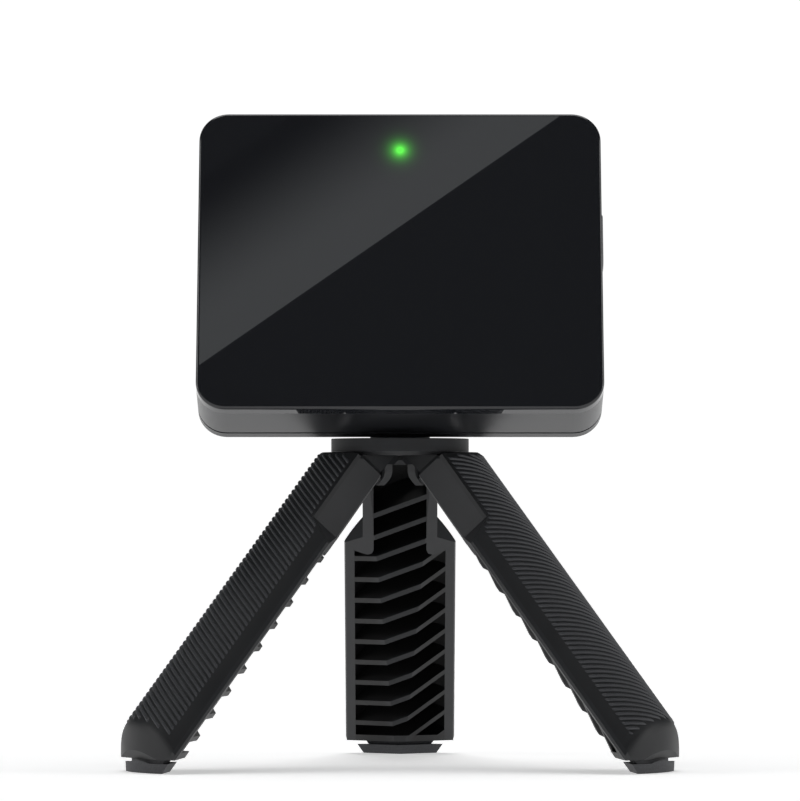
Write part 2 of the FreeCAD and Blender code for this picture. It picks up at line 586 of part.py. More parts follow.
def swept_flat(outline, half_thick):
    """Flat plate from an outline in the radial plane, centred on y = 0."""
    points = [V(x, -half_thick, z) for x, z in outline]
    face = Part.Face(Part.makePolygon(points + [points[0]]))
    return face.extrude(V(0, 2 * half_thick, 0))


def about_stand(shape, azimuth):
    turned_shape = shape.copy()
    turned_shape.rotate(V(0, 0, 0), V(0, 0, 1), azimuth)
    return turned_shape


pin_axis = V(dim("pin_r"), -dim("pin_reach"), dim("pin_z"))
pin = Part.makeCylinder(dim("pin_radius"), 2 * dim("pin_reach"), pin_axis, V(0, 1, 0))
pin_seat = swept_flat(trough_outline, dim("pin_reach") + 0.05)
pin_bed = Part.makeCylinder(dim("pin_radius"), 2 * dim("pin_reach") + 0.1,
                            V(dim("pin_r"), -dim("pin_reach") - 0.05, dim("pin_z")), V(0, 1, 0))
ear_slot = swept_flat(slot_outline, dim("slot_half"))
lug = swept_flat(lug_outline, dim("lug_thick") / 2)
screw_spots = []
for azimuth in (30.0, 150.0, 270.0):
    angle = math.radians(azimuth)
    radius = dim("plate_screw_r")
    screw_spots.append((radius * math.cos(angle), radius * math.sin(angle)))

doc.recompute()
hub_shape = hub.Shape.copy()
hub_shape.Placement = FreeCAD.Placement()
for azimuth in leg_azimuths.values():
    hub_shape = hub_shape.cut(about_stand(ear_slot, azimuth))
for azimuth in leg_azimuths.values():
    hub_shape = hub_shape.fuse(about_stand(lug, azimuth))
for azimuth in leg_azimuths.values():
    hub_shape = hub_shape.cut(about_stand(pin_seat.fuse(pin_bed), azimuth))
for x, y in screw_spots:
    hub_shape = hub_shape.cut(Part.makeCylinder(dim("plate_screw"), 2.4, V(x, y, 69.5)))
nodes.remove(hub)
slotted_hub = doc.addObject("Part::Feature", "slotted_hub")
slotted_hub.Shape = hub_shape.removeSplitter()
finish(slotted_hub, "hub_body", stand_placement)

plate_shape = Part.makeCylinder(dim("plate_radius"), dim("plate_thick"),
                                V(0, 0, top - dim("plate_thick")))
stud = Part.makeCylinder(dim("stud_radius"), dim("stud_top") - top + 0.3, V(0, 0, top - 0.3))
stud = stud.makeChamfer(0.6, [e for e in stud.Edges if e.BoundBox.ZMin > dim("stud_top") - 1e-4])
plate_shape = plate_shape.fuse(stud)
keeper_top = top - dim("plate_thick") + 0.1
keeper_foot = dim("pin_z") + dim("pin_radius") + 0.02
keeper_half = dim("pin_radius") - 0.05
for azimuth in leg_azimuths.values():
    for low, high in ((-dim("pin_reach"), -dim("slot_half") - 0.1), (-1.25, 1.25),
                      (dim("slot_half") + 0.1, dim("pin_reach"))):
        keeper = Part.makeBox(2 * keeper_half, high - low, keeper_top - keeper_foot,
                              V(dim("pin_r") - keeper_half, low, keeper_foot))
        plate_shape = plate_shape.fuse(about_stand(keeper, azimuth))
for x, y in screw_spots:
    plate_shape = plate_shape.cut(Part.makeCone(dim("plate_screw") + 0.05,
                                                dim("plate_screw_head") + 0.05,
                                                dim("plate_thick") + 0.02,
                                                V(x, y, top - dim("plate_thick") - 0.01)))
plate = doc.addObject("Part::Feature", "stud_plate")
plate.Shape = plate_shape.removeSplitter()
finish(plate, "stud_plate", stand_placement)

plate_screw_shapes = []
for x, y in screw_spots:
    head = Part.makeCone(dim("plate_screw"), dim("plate_screw_head"), dim("plate_thick"),
                         V(x, y, top - dim("plate_thick")))
    shank = Part.makeCylinder(dim("plate_screw"), 2.0, V(x, y, top - dim("plate_thick") - 1.9))
    socket = Part.makeCylinder(0.55, 0.45, V(x, y, top - 0.4))
    plate_screw_shapes.append(head.fuse(shank).removeSplitter().cut(socket))
plate_screws = doc.addObject("Part::Feature", "plate_screws")
plate_screws.Shape = Part.makeCompound(plate_screw_shapes)
finish(plate_screws, "plate_screws", stand_placement)

mount_pad = new_body("mount_pad", stand_placement)
mount_ring = new_sketch(mount_pad, "mount_ring", level="Dims.hub_top")
circle(mount_ring, "Dims.pad_outer")
circle(mount_ring, "Dims.pad_inner")
pad(mount_pad, mount_ring, "Dims.seat_z - Dims.hub_top", backwards=False)

pins = doc.addObject("Part::Feature", "hinge_pins")
pins.Shape = Part.makeCompound([about_stand(pin, azimuth) for azimuth in leg_azimuths.values()])
finish(pins, "hinge_pins", stand_placement)

# ---------------------------------------------------------------- legs
# Shared by the three legs and drawn in the leg frame: x out, y round, z = -(distance down).
hinge_local = V(dim("pin_r"), 0, 0)
hinge_world = V(dim("pin_r"), 0, dim("pin_z"))
opened = FreeCAD.Placement(hinge_world, FreeCAD.Rotation(V(0, 1, 0), -dim("leg_lean")))
opened = opened.multiply(FreeCAD.Placement(hinge_local.negative(), FreeCAD.Rotation()))
floor_to_leg = opened.inverse()
FAR = 120.0


def sector_prism(radius, gap, half_width, top, foot):
    """Third of a round bar: two flats 120 degrees apart, an arc outside, clipped in width."""
    apex = V(gap / math.sin(math.radians(60)), 0, 0)
    rim = V(apex.x + half_width / math.tan(math.radians(60)), half_width, 0)
    shoulder_y = half_width + 0.3
    shoulder = V(math.sqrt(radius ** 2 - shoulder_y ** 2), shoulder_y, 0)
    arc = Part.Arc(shoulder, V(radius, 0, 0), V(shoulder.x, -shoulder_y, 0)).toShape()
    edges = [Part.makeLine(apex, rim), Part.makeLine(rim, shoulder), arc,
             Part.makeLine(V(shoulder.x, -shoulder_y, 0), V(rim.x, -half_width, 0)),
             Part.makeLine(V(rim.x, -half_width, 0), apex)]
    prism = Part.Face(Part.Wire(edges)).extrude(V(0, 0, foot - top))
    prism.translate(V(0, 0, -foot))
    return prism


def flat_prism(points, low_x, high_x):
    """Prism along x from an outline of (y, distance down the leg)."""
    outline = [V(low_x, y, -down) for y, down in points]
    face = Part.Face(Part.makePolygon(outline + [outline[0]]))
    return face.extrude(V(high_x - low_x, 0, 0))


def side_prism(points, half_width):
    """Prism along y from an outline of (x, distance down the leg)."""
    outline = [V(x, -half_width, -down) for x, down in points]
    face = Part.Face(Part.makePolygon(outline + [outline[0]]))
    return face.extrude(V(0, 2 * half_width, 0))


def mirrored(points):
    """Outline completed with its mirror image across y = 0."""
    return points + [(-y, down) for y, down in reversed(points)]


def bundle_bar(radius, top, foot, out=0.0):
    """Round bar along the leg with its seam line on the hidden inner side."""
    bar = Part.makeCylinder(radius, foot - top)
    bar.rotate(V(0, 0, 0), V(0, 0, 1), 180)
    bar.translate(V(out, 0, -foot))
    return bar


def foot_turn(radius_change):
    """Upright drum that bounds the leg where its end turns to stand square on the floor."""
    centre = dim("foot_turn_r") - dim("foot_turn_radius")
    radius = dim("foot_turn_radius") + radius_change
    drum = Part.makeCylinder(radius, 200, V(centre, 0, -40))
    inward = Part.makeBox(150, 2 * radius, 200, V(centre - 150, -radius, -40))
    bound = drum.fuse(inward).removeSplitter()
    bound.Placement = floor_to_leg
    return bound


def above_floor(height):
    block = Part.makeBox(400, 400, 200, V(-200, -200, height))
    block.Placement = floor_to_leg
    return block


def beyond(radius, height):
    """Everything above a height and further than a radius from the stand's middle."""
    block = Part.makeBox(100, 100, 60, V(radius, -50, height))
    block.Placement = floor_to_leg
    return block


def height_of(point):
    """Height above the floor of a point of the leg frame, with the leg open."""
    return opened.multVec(point).z


def rim_side(shift):
    """Everything above the sloped end face of the leg, moved down the leg by shift."""
    slope = 0.234
    near = dim("leg_end") + 0.3 + slope * 7.1 + shift
    return side_prism([(-20, -20), (30, -20), (30, near - slope * 30), (-20, near + slope * 20)], 60)


def crest(down):
    """Distance of the flattened crest from the bundle's axis at a point down the leg."""
    part = (down - dim("crest_high_at")) / (dim("crest_low_at") - dim("crest_high_at"))
    return dim("crest_high") + part * (dim("crest_low") - dim("crest_high"))


def wedge_prism(half_angle_deg, top, foot):
    """Everything within an angle either side of the leg's outer line."""
    reach = 40.0
    spread = reach * math.tan(math.radians(half_angle_deg))
    outline = [V(0, 0, -foot), V(reach, -spread, -foot), V(reach, spread, -foot), V(0, 0, -foot)]
    return Part.Face(Part.makePolygon(outline)).extrude(V(0, 0, foot - top))


neck_outline = mirrored([(dim("neck_half"), dim("leg_top")), (dim("neck_half"), dim("neck_end")),
                         (dim("rim_half") + 0.4, dim("shoulder_end")),
                         (dim("rim_half") + 0.4, FAR)])
pocket_outline = mirrored([(dim("ear_inner"), -4), (dim("ear_inner"), 5.0), (2.0, 6.8),
                           (2.7, 8.3), (3.5, 9.3), (dim("neck_inner"), 9.3),
                           (dim("neck_inner"), 27.9), (6.35, 29.1), (7.3, 29.9), (8.6, 30.1),
                           (dim("rail_inner"), 30.1), (dim("rail_inner"), FAR)])
ear_outline = [(dim("ear_inner"), -3), (dim("ear_outer"), -3), (dim("ear_outer"), 5.1),
               (3.7, 6.9), (4.4, 8.3), (5.3, 9.6), (3.5, 9.6), (2.7, 8.3), (2.0, 6.8),
               (dim("ear_inner"), 5.0)]
ear_side = [(dim("pin_r") - dim("ear_tip"), 0), (dim("pin_r") + dim("ear_tip"), 0),
            (8.2, 3.6), (10.4, 7.4), (10.4, 9.6), (4.1, 9.6), (3.2, 5.0)]

envelope = sector_prism(dim("grip_radius"), dim("leg_gap"), dim("rim_half") - 0.3,
                        dim("leg_top"), 100)
trimmed = side_prism([(crest(-20), -20), (40, -20), (40, FAR), (crest(FAR), FAR)], 60)
envelope = envelope.common(trimmed)
envelope = envelope.common(flat_prism(neck_outline, -5, 30))
envelope = envelope.common(foot_turn(0))
envelope = envelope.common(above_floor(dim("shell_foot_z")))
envelope = envelope.common(rim_side(0))

cells = flat_prism(pocket_outline, -5, 30)
ribs = []
for k in range(int(dim("rib_count"))):
    middle = dim("rib_first") + k * dim("rib_pitch")
    half_rib = dim("rib_thick") / 2 / math.cos(math.atan(dim("rib_skew")))
    drop = 20 * dim("rib_skew")
    ribs.append(flat_prism([(-20, middle - drop - half_rib), (20, middle + drop - half_rib),
                            (20, middle + drop + half_rib), (-20, middle - drop + half_rib)],
                           -6, 31))
cells = cells.cut(Part.makeCompound(ribs))
cells = cells.common(bundle_bar(dim("leg_wall_inner"), -20, FAR))
cells = cells.common(foot_turn(-1.8))
cells = cells.common(above_floor(dim("shell_foot_z") + dim("foot_wall")))
cells = cells.common(rim_side(-1.6))

seat = bundle_bar(dim("frame_radius"), 0, 100).common(foot_turn(-0.75))
grip = envelope.common(wedge_prism(dim("grip_half_angle"), 0, 100)).cut(seat)
frame = envelope.cut(grip).cut(cells).cut(beyond(dim("hub_foot_radius"), dim("neck_cap_z")))
grip = grip.cut(beyond(dim("hub_foot_radius"), dim("grip_cap_z")))

tip = Part.makeCylinder(dim("ear_tip"), 2 * dim("ear_outer"),
                        V(dim("pin_r"), -dim("ear_outer"), 0), V(0, 1, 0))
ear_body = side_prism(ear_side, 6).fuse(tip)
for side in (1, -1):
    outline = [(side * y, down) for y, down in ear_outline]
    frame = frame.fuse(ear_body.common(flat_prism(outline, -5, 30)))
frame = frame.cut(Part.makeCylinder(dim("ear_bore"), 20, V(dim("pin_r"), -10, 0), V(0, 1, 0)))
frame = frame.removeSplitter()


def outer_edges(shape, chosen):
    """Edges on the outer face of the grip whose middle point passes a test."""
    found = []
    for edge in shape.Edges:
        middle = edge.valueAt((edge.FirstParameter + edge.LastParameter) / 2)
        if math.hypot(middle.x, middle.y) > dim("grip_radius") - 0.01 and chosen(middle):
            found.append(edge)
    return found


def on_cap(point):
    return abs(height_of(point) - dim("grip_cap_z")) < 0.01


def on_foot_turn(point):
    spot = opened.multVec(point)
    drum_middle = dim("foot_turn_r") - dim("foot_turn_radius")
    from_middle = math.hypot(spot.x - drum_middle, spot.y)
    return spot.z > 4 and abs(from_middle - dim("foot_turn_radius")) < 0.01


grip = grip.Solids[0]
grip = grip.makeChamfer(dim("cap_edge"), outer_edges(grip, on_cap))
grip = grip.makeFillet(dim("foot_turn_edge"), outer_edges(grip, on_foot_turn))

foot = sector_prism(dim("grip_radius") - dim("pad_inset"), dim("leg_gap") + dim("pad_inset"),
                    dim("pad_half"), 60, 110).common(foot_turn(-dim("pad_inset")))
foot_core = sector_prism(dim("grip_radius") - 2.2, dim("leg_gap") + 2.2,
                         dim("pad_core_half"), 60, 110).common(foot_turn(-2.2))
shell_block = above_floor(dim("shell_foot_z")).common(rim_side(0))
groove_block = above_floor(dim("shell_foot_z") - dim("pad_gap")).common(rim_side(0.55))
foot = foot.cut(groove_block).common(above_floor(0))
foot_core = foot_core.cut(shell_block).common(above_floor(0.3))
foot_pad = foot.fuse(foot_core).removeSplitter()

leg_shapes = {"frame": frame, "grip": grip, "foot": foot_pad}
for leg_name, azimuth in leg_azimuths.items():
    round_stand = FreeCAD.Placement(V(0, 0, 0), FreeCAD.Rotation(V(0, 0, 1), azimuth))
    leg_placement = stand_placement.multiply(round_stand).multiply(opened)
    for piece, shape in leg_shapes.items():
        label = "%s_leg_%s" % (leg_name, piece)
        node = doc.addObject("Part::Feature", label)
        node.Shape = shape.copy()
        finish(node, label, leg_placement)

doc.recompute()
os.makedirs("parts", exist_ok=True)
broken = [f.Name for f in doc.Objects if "Invalid" in f.State or "Error" in f.State]
if broken:
    raise RuntimeError("features in error: %s" % broken)
for node in nodes:
    if node.Shape.isNull() or not node.Shape.isValid():
        raise RuntimeError("%s has no valid shape" % node.Label)
    node.Shape.exportStep("parts/%s.step" % node.Label)
print("%d pieces written" % len(nodes))
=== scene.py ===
# %% [markdown]
# # A pocket launch monitor on a folding tripod
# This lesson dresses a finished CAD model. The radar head is a flat box with a dark glossy
# window. It screws onto a small hub, and three ribbed legs fold out of the hub.
# The shapes are exact already, so most of the work here is light, materials and moulded texture.
# First we load the CAD model. Every node is an object that sits at the origin, in metres.

# %% Load the frame
import json
import math

import bmesh
import bpy
from mathutils import Matrix, Vector


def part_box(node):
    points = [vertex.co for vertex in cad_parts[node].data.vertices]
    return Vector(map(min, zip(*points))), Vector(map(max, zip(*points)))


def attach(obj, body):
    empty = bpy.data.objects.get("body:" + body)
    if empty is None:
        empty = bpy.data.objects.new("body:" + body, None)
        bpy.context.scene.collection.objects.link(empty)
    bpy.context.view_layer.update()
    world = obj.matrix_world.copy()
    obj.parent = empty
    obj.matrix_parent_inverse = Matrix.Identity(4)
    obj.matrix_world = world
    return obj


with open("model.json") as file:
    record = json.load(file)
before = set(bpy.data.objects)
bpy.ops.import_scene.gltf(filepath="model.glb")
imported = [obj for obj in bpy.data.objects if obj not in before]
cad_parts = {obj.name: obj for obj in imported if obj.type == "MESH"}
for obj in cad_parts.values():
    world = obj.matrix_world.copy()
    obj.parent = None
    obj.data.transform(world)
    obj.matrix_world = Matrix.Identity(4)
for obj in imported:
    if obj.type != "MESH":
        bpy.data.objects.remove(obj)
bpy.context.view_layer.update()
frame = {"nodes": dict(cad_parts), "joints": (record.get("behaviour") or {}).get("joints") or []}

nodes = frame["nodes"]

# %% [markdown]
# ## Where things are
# Blender works in metres, and small products are easier to think about in millimetres, so one
# constant turns one into the other. The window is a flat plate that leans back. We measure its
# plane from the mesh itself: the largest faces of the plate share one direction, its normal.

# %% Measure the window's plane
MM = 0.001
glass = nodes["front_lens"].data
widest = max(glass.polygons, key=lambda face: face.area if face.normal.y < 0 else 0)
glass_normal = widest.normal.copy()
glass_up = Vector((0, glass_normal.z, -glass_normal.y))
glass_points = [v.co for v in glass.vertices if (v.co - widest.center).dot(glass_normal) > -0.01 * MM]
low_edge = min(p.dot(glass_up) for p in glass_points)
high_edge = max(p.dot(glass_up) for p in glass_points)
lean = math.degrees(math.asin(glass_normal.z))


def on_glass(across, up):
    """Point on the window's face, in millimetres across and up from its middle."""
    level = (low_edge + high_edge) / 2 + up * MM
    return Vector((across * MM, 0, 0)) + glass_up * level + glass_normal * widest.center.dot(glass_normal)


print("window leans back", round(lean, 2), "degrees; middle at", [round(c, 4) for c in on_glass(0, 0)])

# %% [markdown]
# ## The camera
# A long lens far away keeps the edges of a product nearly parallel, as in a catalogue.
# The camera stands low, just below the window, and tips up by a little more than one degree.

# %% Camera
camera_data = bpy.data.cameras.new("catalogue_camera")
camera_data.lens = 237.8
camera_data.sensor_width = 36.0
camera_data.clip_start = 0.05
camera_data.clip_end = 200.0
camera = bpy.data.objects.new("catalogue_camera", camera_data)
camera.location = (0.0, -1.18441, 0.05472)
camera.rotation_euler = (math.radians(90 + 1.274), 0, 0)
bpy.context.scene.collection.objects.link(camera)
bpy.context.scene.camera = camera
bpy.context.scene.view_settings.view_transform = "Standard"
print("camera distance:", round(-camera.location.y, 3), "m")

# %% [markdown]
# ## Colour and nodes
# Colours are written as the hex values of a paint program. Those are sRGB, and shaders work in
# linear light, so one function converts them. A second one adds a shader node, sets its
# properties and fills its inputs: a value is set on the socket, and an output is linked to it.

# %% Helpers for colour and nodes
def linear(hex_code, alpha=1.0):
    """Linear RGBA from an sRGB hex colour."""
    channels = [int(hex_code[i:i + 2], 16) / 255 for i in (1, 3, 5)]
    return tuple(c / 12.92 if c <= 0.04045 else ((c + 0.055) / 1.055) ** 2.4 for c in channels) + (alpha,)


def add(tree, kind, inputs=None, **settings):
    """One shader node with its settings, values and links."""
    made = tree.nodes.new(kind)
    for name, value in settings.items():
        setattr(made, name, value)
    for socket, value in (inputs or {}).items():
        if isinstance(value, bpy.types.NodeSocket):
            tree.links.new(value, made.inputs[socket])
        else:
            made.inputs[socket].default_value = value
    return made


def new_material(name):
    """Empty node material and its tree."""
    material = bpy.data.materials.new(name)
    material.use_nodes = True
    material.node_tree.nodes.clear()
    return material, material.node_tree


def dress(material, *names):
    """Gives CAD nodes or pieces one material in every slot."""
    for name in names:
        data = bpy.data.objects[name].data
        data.materials.clear()
        data.materials.append(material)


print("white is", linear("#ffffff"), "and mid grey is", [round(c, 3) for c in linear("#808080")])

# %% [markdown]
# ## The studio
# A black product is seen by what it reflects. The set is a bright pale floor with no visible
# horizon, and a sky that is white low down and dark higher up. The dark part is what the leaning
# window mirrors, so the window stays deep black while the floor stays bright.

# %% Sky
white_below, dark_above = 0.10, 0.27
world = bpy.data.worlds.new("studio")
bpy.context.scene.world = world
world.use_nodes = True
sky = world.node_tree
sky.nodes.clear()
direction = add(sky, "ShaderNodeTexCoord")
height = add(sky, "ShaderNodeSeparateXYZ", {0: direction.outputs["Generated"]})
shade = add(sky, "ShaderNodeValToRGB", {0: height.outputs["Z"]})
shade.color_ramp.interpolation = "EASE"
shade.color_ramp.elements[0].position = white_below
shade.color_ramp.elements[0].color = linear("#ffffff")
shade.color_ramp.elements[1].position = dark_above
shade.color_ramp.elements[1].color = linear("#303234")
background = add(sky, "ShaderNodeBackground", {"Color": shade.outputs["Color"], "Strength": 1.02})
add(sky, "ShaderNodeOutputWorld", {"Surface": background.outputs[0]})
print("sky turns from white to dark between", round(math.degrees(math.asin(white_below))), "and",
      round(math.degrees(math.asin(dark_above))), "degrees above the horizon")

# %% [markdown]
# The floor is a large disc of matt white card, lit from below as a light table is. The glow keeps
# it nearly white, and the lamps above leave a faint shadow where the feet touch.

# %% Floor
floor_radius, floor_drop = 60.0, 0.05 * MM
floor_mesh = bpy.data.meshes.new("floor")
shape = bmesh.new()
bmesh.ops.create_circle(shape, cap_ends=True, radius=floor_radius, segments=96)
shape.to_mesh(floor_mesh)
shape.free()
floor = bpy.data.objects.new("floor", floor_mesh)
floor.location.z = -floor_drop
bpy.context.scene.collection.objects.link(floor)

white_card, tree = new_material("matt_white_card")
place = add(tree, "ShaderNodeTexCoord")
reach = add(tree, "ShaderNodeVectorMath", {0: place.outputs["Object"]}, operation="LENGTH")
share = add(tree, "ShaderNodeMapRange", {"Value": reach.outputs["Value"], "From Min": 0.0, "From Max": 5.0})
glow = add(tree, "ShaderNodeValToRGB", {0: share.outputs[0]})
glow_steps = [(0.05, 0.45), (0.33, 0.71), (0.50, 0.85), (0.70, 0.92), (1.0, 0.96)]
for position, level in glow_steps[1:-1]:
    glow.color_ramp.elements.new(position).color = (level, level, level, 1)
glow.color_ramp.elements[0].position = glow_steps[0][0]
glow.color_ramp.elements[0].color = (glow_steps[0][1],) * 3 + (1,)
glow.color_ramp.elements[-1].color = (glow_steps[-1][1],) * 3 + (1,)
card_diffuse = add(tree, "ShaderNodeBsdfDiffuse", {"Color": linear("#f4f4f4")})
card_glow = add(tree, "ShaderNodeEmission", {"Color": glow.outputs["Color"], "Strength": 1.0})
card_sum = add(tree, "ShaderNodeAddShader", {0: card_diffuse.outputs[0], 1: card_glow.outputs[0]})
add(tree, "ShaderNodeOutputMaterial", {"Surface": card_sum.outputs[0]})
dress(white_card, "floor")
print("floor radius:", floor_radius, "m")

# %% [markdown]
# Three soft boxes light the set: a large one overhead, and one on each side that draws a long
# soft line down the legs. They stand further out than any viewpoint.

# %% Soft boxes
lamps = {
    "overhead": ((0.0, 0.25, 2.1), (0.0, 0.0, 0.0), 1.6, 22.8),
    "left_side": ((-2.2, -0.5, 1.0), (0.0, 0.0, 0.06), 1.0, 10.7),
    "right_side": ((2.2, -0.3, 0.9), (0.0, 0.0, 0.06), 1.0, 10.7),
}
for name, (place, aim, size, power) in lamps.items():
    lamp_data = bpy.data.lights.new(name, "AREA")
    lamp_data.shape = "SQUARE"
    lamp_data.size = size
    lamp_data.energy = power
    lamp = bpy.data.objects.new(name, lamp_data)
    lamp.location = place
    lamp.rotation_mode = "QUATERNION"
    lamp.rotation_quaternion = (Vector(aim) - Vector(place)).to_track_quat("-Z", "Y")
    bpy.context.scene.collection.objects.link(lamp)
    print(name, "at", place, "power", power, "W")

# %% [markdown]
# The window mirrors one more thing: the straight edge of a pale card that hangs high behind the
# camera. We choose two points on the glass where its edge should show, bounce the camera's sight
# lines off the glass there, and hang the card where those bounced lines arrive.

# %% Reflected card
edge_on_glass = (on_glass(-44.2, -25.4), on_glass(35.9, 34.9))
fade_on_glass = (on_glass(-8.2, 10.3), on_glass(-22.7, 33.4))
card_distance = 2.4


def bounce(point):
    """Direction in which the camera's sight line leaves the glass at a point."""
    sight = (point - camera.location).normalized()
    return sight - 2 * sight.dot(glass_normal) * glass_normal


hung = [point + bounce(point) * card_distance for point in edge_on_glass]
along = (hung[1] - hung[0]).normalized()
facing = (on_glass(0, 0) - (hung[0] + hung[1]) / 2).normalized()
away = facing.cross(along).normalized()
if away.x > 0:
    away = -away
facing = along.cross(away)


def across_card(point):
    """How far from the card's edge a point of the glass mirrors it, in metres."""
    path = bounce(point)
    arrival = point + path * ((hung[0] - point).dot(facing) / path.dot(facing))
    return (arrival - hung[0]).dot(away)


fade_from, fade_to = across_card(fade_on_glass[0]), across_card(fade_on_glass[1])
card_wide, card_tall = 1.1, fade_to * 1.05
start = (hung[0] + hung[1]) / 2 - along * card_wide / 2
card_mesh = bpy.data.meshes.new("reflected_card")
shape = bmesh.new()
outline = ((0, 0, 0), (card_wide, 0, 0), (card_wide, card_tall, 0), (0, card_tall, 0))
corners = [shape.verts.new(co) for co in outline]
shape.faces.new(corners)
shape.to_mesh(card_mesh)
shape.free()
card = bpy.data.objects.new("reflected_card", card_mesh)
card.matrix_world = Matrix.Translation(start) @ Matrix((along, away, along.cross(away))).transposed().to_4x4()
bpy.context.scene.collection.objects.link(card)
print("card middle:", [round(c, 2) for c in start + along * card_wide / 2 + away * card_tall / 2],
      "fades over", round(fade_to - fade_from, 3), "m")

# %% [markdown]
# The card is brightest along its edge and fades away from it, so the glass shows a soft sweep
# that ends in one crisp diagonal line.

# %% Card light
pale_card, tree = new_material("pale_reflector_card")
place = add(tree, "ShaderNodeTexCoord")
split = add(tree, "ShaderNodeSeparateXYZ", {0: place.outputs["Object"]})
fade = add(tree, "ShaderNodeMapRange", {"Value": split.outputs["Y"], "From Min": fade_from, "From Max": fade_to,
                                        "To Min": 1.05, "To Max": 0.0}, interpolation_type="SMOOTHSTEP")
card_light = add(tree, "ShaderNodeEmission", {"Color": linear("#f2f6f8"), "Strength": fade.outputs[0]})
add(tree, "ShaderNodeOutputMaterial", {"Surface": card_light.outputs[0]})
dress(pale_card, "reflected_card")

# %% [markdown]
# ## The window: smoked polycarbonate
# The front plate is moulded polycarbonate, tinted almost black, with a polished hard coat. It
# mirrors the studio sharply. Near the top the window carries a painted glow of the green status
# lamp, which is not seen through it: a small bright core with a soft halo, as the tinted plastic
# scatters a little of the light. The painted glow dies away exponentially, so one formula of the
# distance from the lamp draws it.

# %% Smoked polycarbonate
pipe_low, pipe_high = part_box("light_pipe")
pipe_middle = (pipe_low + pipe_high) / 2
lamp_spot = pipe_middle + glass_normal * (widest.center - pipe_middle).dot(glass_normal)
lamp_core, halo_fade = 0.65 * MM, 0.9 * MM

smoked_polycarbonate, tree = new_material("smoked_polycarbonate")
place = add(tree, "ShaderNodeTexCoord")
reach = add(tree, "ShaderNodeVectorMath", {0: place.outputs["Object"], 1: lamp_spot}, operation="DISTANCE")
beyond_core = add(tree, "ShaderNodeMath", {0: reach.outputs["Value"], 1: lamp_core}, operation="SUBTRACT")
outside = add(tree, "ShaderNodeMath", {0: beyond_core.outputs[0], 1: 0.0}, operation="MAXIMUM")
faded = add(tree, "ShaderNodeMath", {0: outside.outputs[0], 1: -1 / halo_fade}, operation="MULTIPLY")
painted_halo = add(tree, "ShaderNodeMath", {0: faded.outputs[0]}, operation="EXPONENT")
# Painted glow: the window's own emission stands in for the status lamp's light.
painted_lamp_glow = add(tree, "ShaderNodeMix", {"Factor": painted_halo.outputs[0], "A": linear("#000000"), "B": linear("#5dff45")},
          data_type="RGBA")
glass_shader = add(tree, "ShaderNodeBsdfPrincipled", {
    "Base Color": linear("#1d1e21"), "Roughness": 0.005, "IOR": 1.52,
    "Emission Color": painted_lamp_glow.outputs["Result"], "Emission Strength": 1.0})
add(tree, "ShaderNodeOutputMaterial", {"Surface": glass_shader.outputs[0]})
dress(smoked_polycarbonate, "front_lens")
print("status lamp at", [round(c, 4) for c in lamp_spot])

# %% [markdown]
# ## Housing: moulded ABS
# The two halves of the case are moulded in black polycarbonate and ABS. The mould is spark
# eroded, which leaves a fine even grain of about 0.15 mm that breaks the reflections up. It is
# drawn twice as coarse here, because 0.15 mm is too fine to show at this size.

# %% Moulded ABS
housing_grain = 0.30 * MM
moulded_abs, tree = new_material("moulded_abs")
place = add(tree, "ShaderNodeTexCoord")
grain = add(tree, "ShaderNodeTexNoise", {"Vector": place.outputs["Object"], "Scale": 1 / housing_grain,
                                         "Detail": 2.0})
cloud = add(tree, "ShaderNodeTexNoise", {"Vector": place.outputs["Object"], "Scale": 1 / (14 * MM),
                                         "Detail": 3.0})
tone = add(tree, "ShaderNodeValToRGB", {0: cloud.outputs["Fac"]})
tone.color_ramp.elements[0].position = 0.3
tone.color_ramp.elements[0].color = linear("#1b1c1e")
tone.color_ramp.elements[1].position = 0.7
tone.color_ramp.elements[1].color = linear("#202124")
bump = add(tree, "ShaderNodeBump", {"Height": grain.outputs["Fac"], "Strength": 0.25, "Distance": 0.02 * MM})
abs_shader = add(tree, "ShaderNodeBsdfPrincipled", {
    "Base Color": tone.outputs["Color"], "Roughness": 0.32, "IOR": 1.54, "Normal": bump.outputs["Normal"]})
add(tree, "ShaderNodeOutputMaterial", {"Surface": abs_shader.outputs[0]})
dress(moulded_abs, "front_housing", "rear_housing", "power_key")
print("housing grain:", housing_grain / MM, "mm")

# %% [markdown]
# ## Legs and hub: glass-filled nylon
# The tripod's hub and leg frames are drawn as glass-filled nylon, a stiff grey-black plastic.
# The fibres leave a dull, slightly mottled skin. The pockets between a leg's inner ribs carry painted
# shade, much darker than the rails, so the material has to know where each leg's pockets are. First we
# set up the leg's own directions from the hinge in the record: out, round and up the leg.

# %% Leg directions
joints = {joint["name"]: joint for joint in frame["joints"]}
stand_spot = Vector(joints["head_turn"]["pos_m"])
leg_names = ("front_left", "front_right", "rear")
leg_lean = math.radians(39.25)


def leg_matrix(leg):
    """Matrix from a leg's own frame, out, round and up along the leg, to the stand's frame."""
    joint = joints[leg + "_leg_fold"]
    pin, round_axis = Vector(joint["pos_m"]), Vector(joint["axis"])
    out_axis = Vector((round_axis.y, -round_axis.x, 0))
    pin_reach = (pin - stand_spot).to_2d().length
    turned = Matrix((out_axis, round_axis, Vector((0, 0, 1)))).transposed().to_4x4()
    tilt = Matrix.Rotation(-leg_lean, 4, "Y")
    return Matrix.Translation(pin) @ turned @ tilt @ Matrix.Translation((-pin_reach, 0, 0))


for leg in leg_names:
    print(leg, "leg ends near", [round(c, 3) for c in leg_matrix(leg) @ Vector((0.0148, 0, -0.085))])
